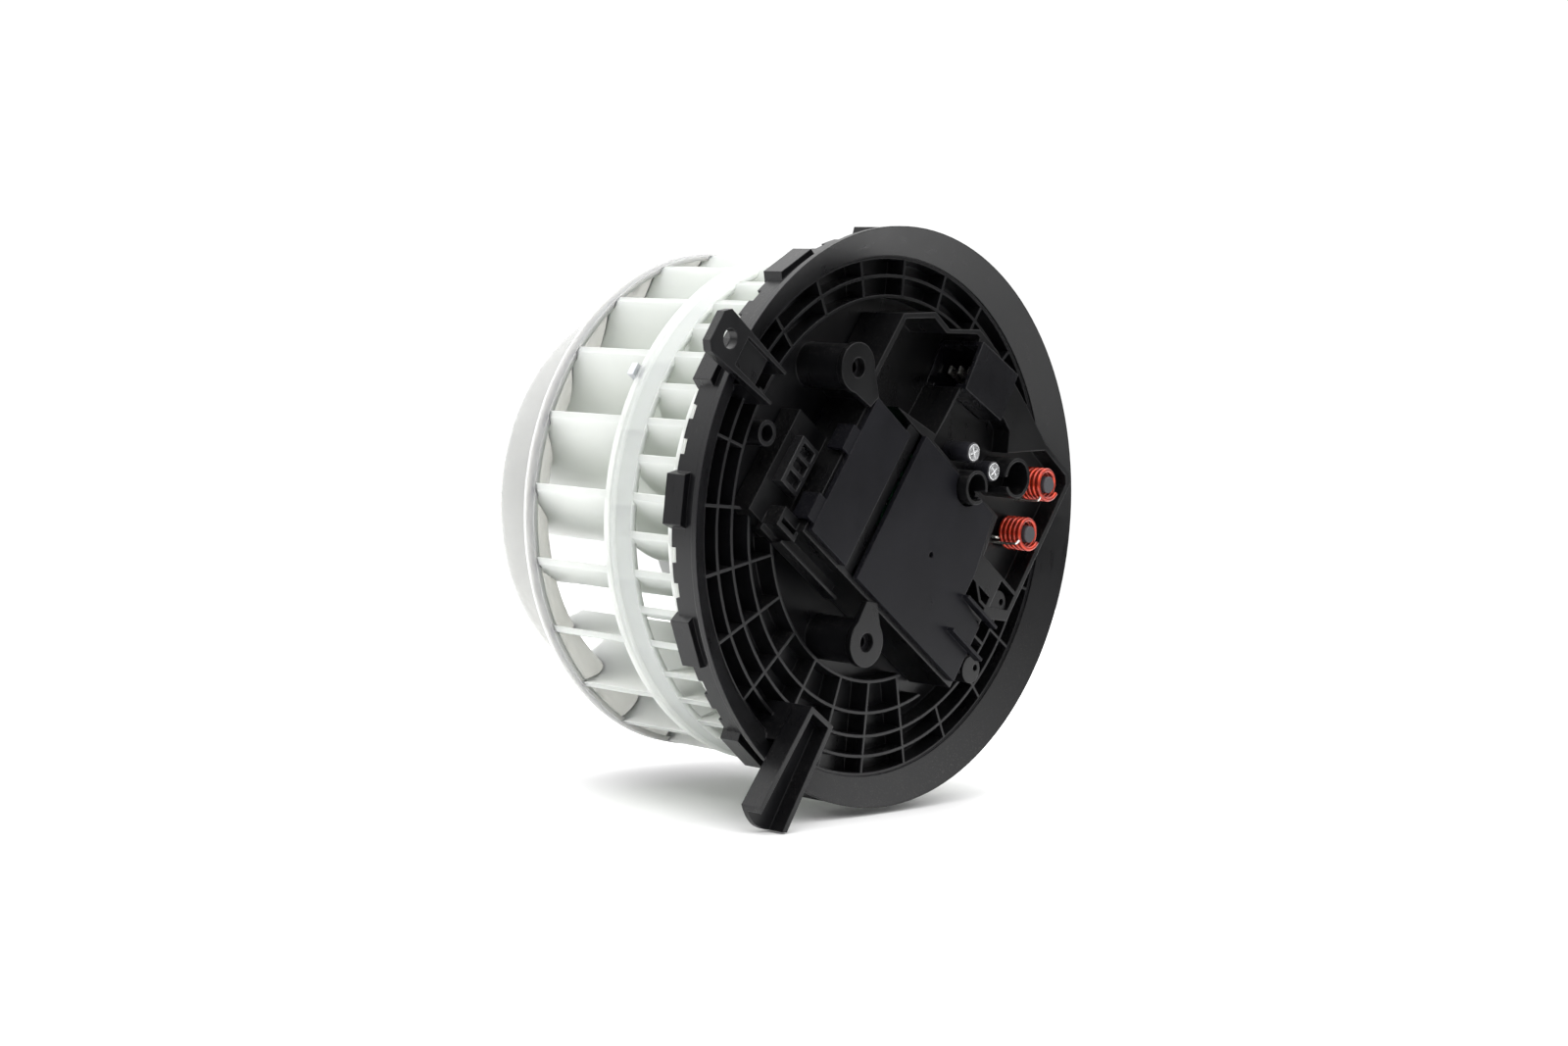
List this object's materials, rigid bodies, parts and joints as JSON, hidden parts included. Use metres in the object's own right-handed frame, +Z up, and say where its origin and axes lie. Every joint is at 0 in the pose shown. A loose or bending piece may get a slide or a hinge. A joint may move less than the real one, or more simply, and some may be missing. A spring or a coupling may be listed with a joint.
{
  "type": "cabin blower unit",
  "caption": "Ribbed bayonet flange with built-in speed regulator and brushed motor, carrying a translucent centrifugal blower wheel with a bell-mouthed inlet.",
  "frame": {"origin": "on the motor axis, in the plane of the front edge of the flange's lip", "axes": "+Y along the motor axis from the flange to the wheel's inlet, +Z up as the unit is held, +X completes the right hand"},
  "size_m": [0.1805, 0.1223, 0.1818],
  "materials": {
    "black_plastic": "satin moulded, slight sheen on edges",
    "housing_plastic": "satin moulded",
    "cover_plastic": "fine spark-eroded grain",
    "brush_card_plastic": "moulded phenolic",
    "wheel_plastic": "natural translucent polypropylene, slightly green",
    "tinned_copper": "bright tin",
    "circuit_laminate": "solder mask",
    "spreader_aluminium": "mill finish",
    "epoxy_case": "matt epoxy",
    "capacitor_aluminium": "bright can with a dark sleeve",
    "ferrite": "sintered",
    "copper_enamel": "red enamelled copper",
    "zinc_steel": "zinc plated",
    "ground_steel": "ground",
    "sintered_bronze": "sintered, oiled",
    "lamination_steel": "stacked laminations",
    "commutator_copper": "turned copper",
    "brush_carbon": "graphite",
    "holder_brass": "pressed",
    "spring_steel": "drawn wire",
    "grommet_rubber": "soft black"
  },
  "bodies": {
    "unit": {"bearing_far": "sintered_bronze", "bearing_near": "sintered_bronze", "brush_card": "brush_card_plastic", "brush_holder_1": "holder_brass", "brush_holder_2": "holder_brass", "brush_spring_1": "spring_steel", "brush_spring_2": "spring_steel", "capacitor_1": "capacitor_aluminium", "capacitor_2": "capacitor_aluminium", "carrier_screw_1": "zinc_steel", "carrier_screw_2": "zinc_steel", "carrier_screw_3": "zinc_steel", "choke_core_1": "ferrite", "choke_core_2": "ferrite", "choke_winding_1": "copper_enamel", "choke_winding_2": "copper_enamel", "circuit_board": "circuit_laminate", "connector_shell": "housing_plastic", "connector_terminals": "tinned_copper", "cover_large": "cover_plastic", "cover_small": "cover_plastic", "field_magnet_1": "ferrite", "field_magnet_2": "ferrite", "heat_spreader": "spreader_aluminium", "motor_can": "zinc_steel", "motor_carrier": "black_plastic", "mounting_flange": "black_plastic", "power_transistor_1": "epoxy_case", "power_transistor_2": "epoxy_case", "power_transistor_3": "epoxy_case", "regulator_housing": "housing_plastic", "rubber_grommet_1": "grommet_rubber", "rubber_grommet_2": "grommet_rubber", "rubber_grommet_3": "grommet_rubber", "terminal_block": "housing_plastic"},
    "rotor": {"rotor_shaft": "ground_steel", "armature_core": "lamination_steel", "armature_windings": "copper_enamel", "commutator": "commutator_copper", "blower_wheel": "wheel_plastic", "inlet_collar": "wheel_plastic", "hub_insert": "ground_steel", "shaft_clip": "zinc_steel", "thrust_washer": "zinc_steel", "balance_clip_1": "zinc_steel", "balance_clip_2": "zinc_steel"},
    "brush_one": {"carbon_brush_1": "brush_carbon"},
    "brush_two": {"carbon_brush_2": "brush_carbon"}
  },
  "joints": [
    {"name": "wheel_spin", "type": "hinge", "parent": "unit", "child": "rotor", "pos_m": [0, 0.05, 0], "axis": [0, 1, 0], "continuous": true},
    {"name": "brush_one_slide", "type": "slide", "parent": "unit", "child": "brush_one", "axis": [1, 0, 0], "range_m": [0, 0.002], "stiffness_N_per_m": 60, "springref_m": -0.004, "deforming": ["brush_spring_1"]},
    {"name": "brush_two_slide", "type": "slide", "parent": "unit", "child": "brush_two", "axis": [-1, 0, 0], "range_m": [0, 0.002], "stiffness_N_per_m": 60, "springref_m": -0.004, "deforming": ["brush_spring_2"]}
  ]
}
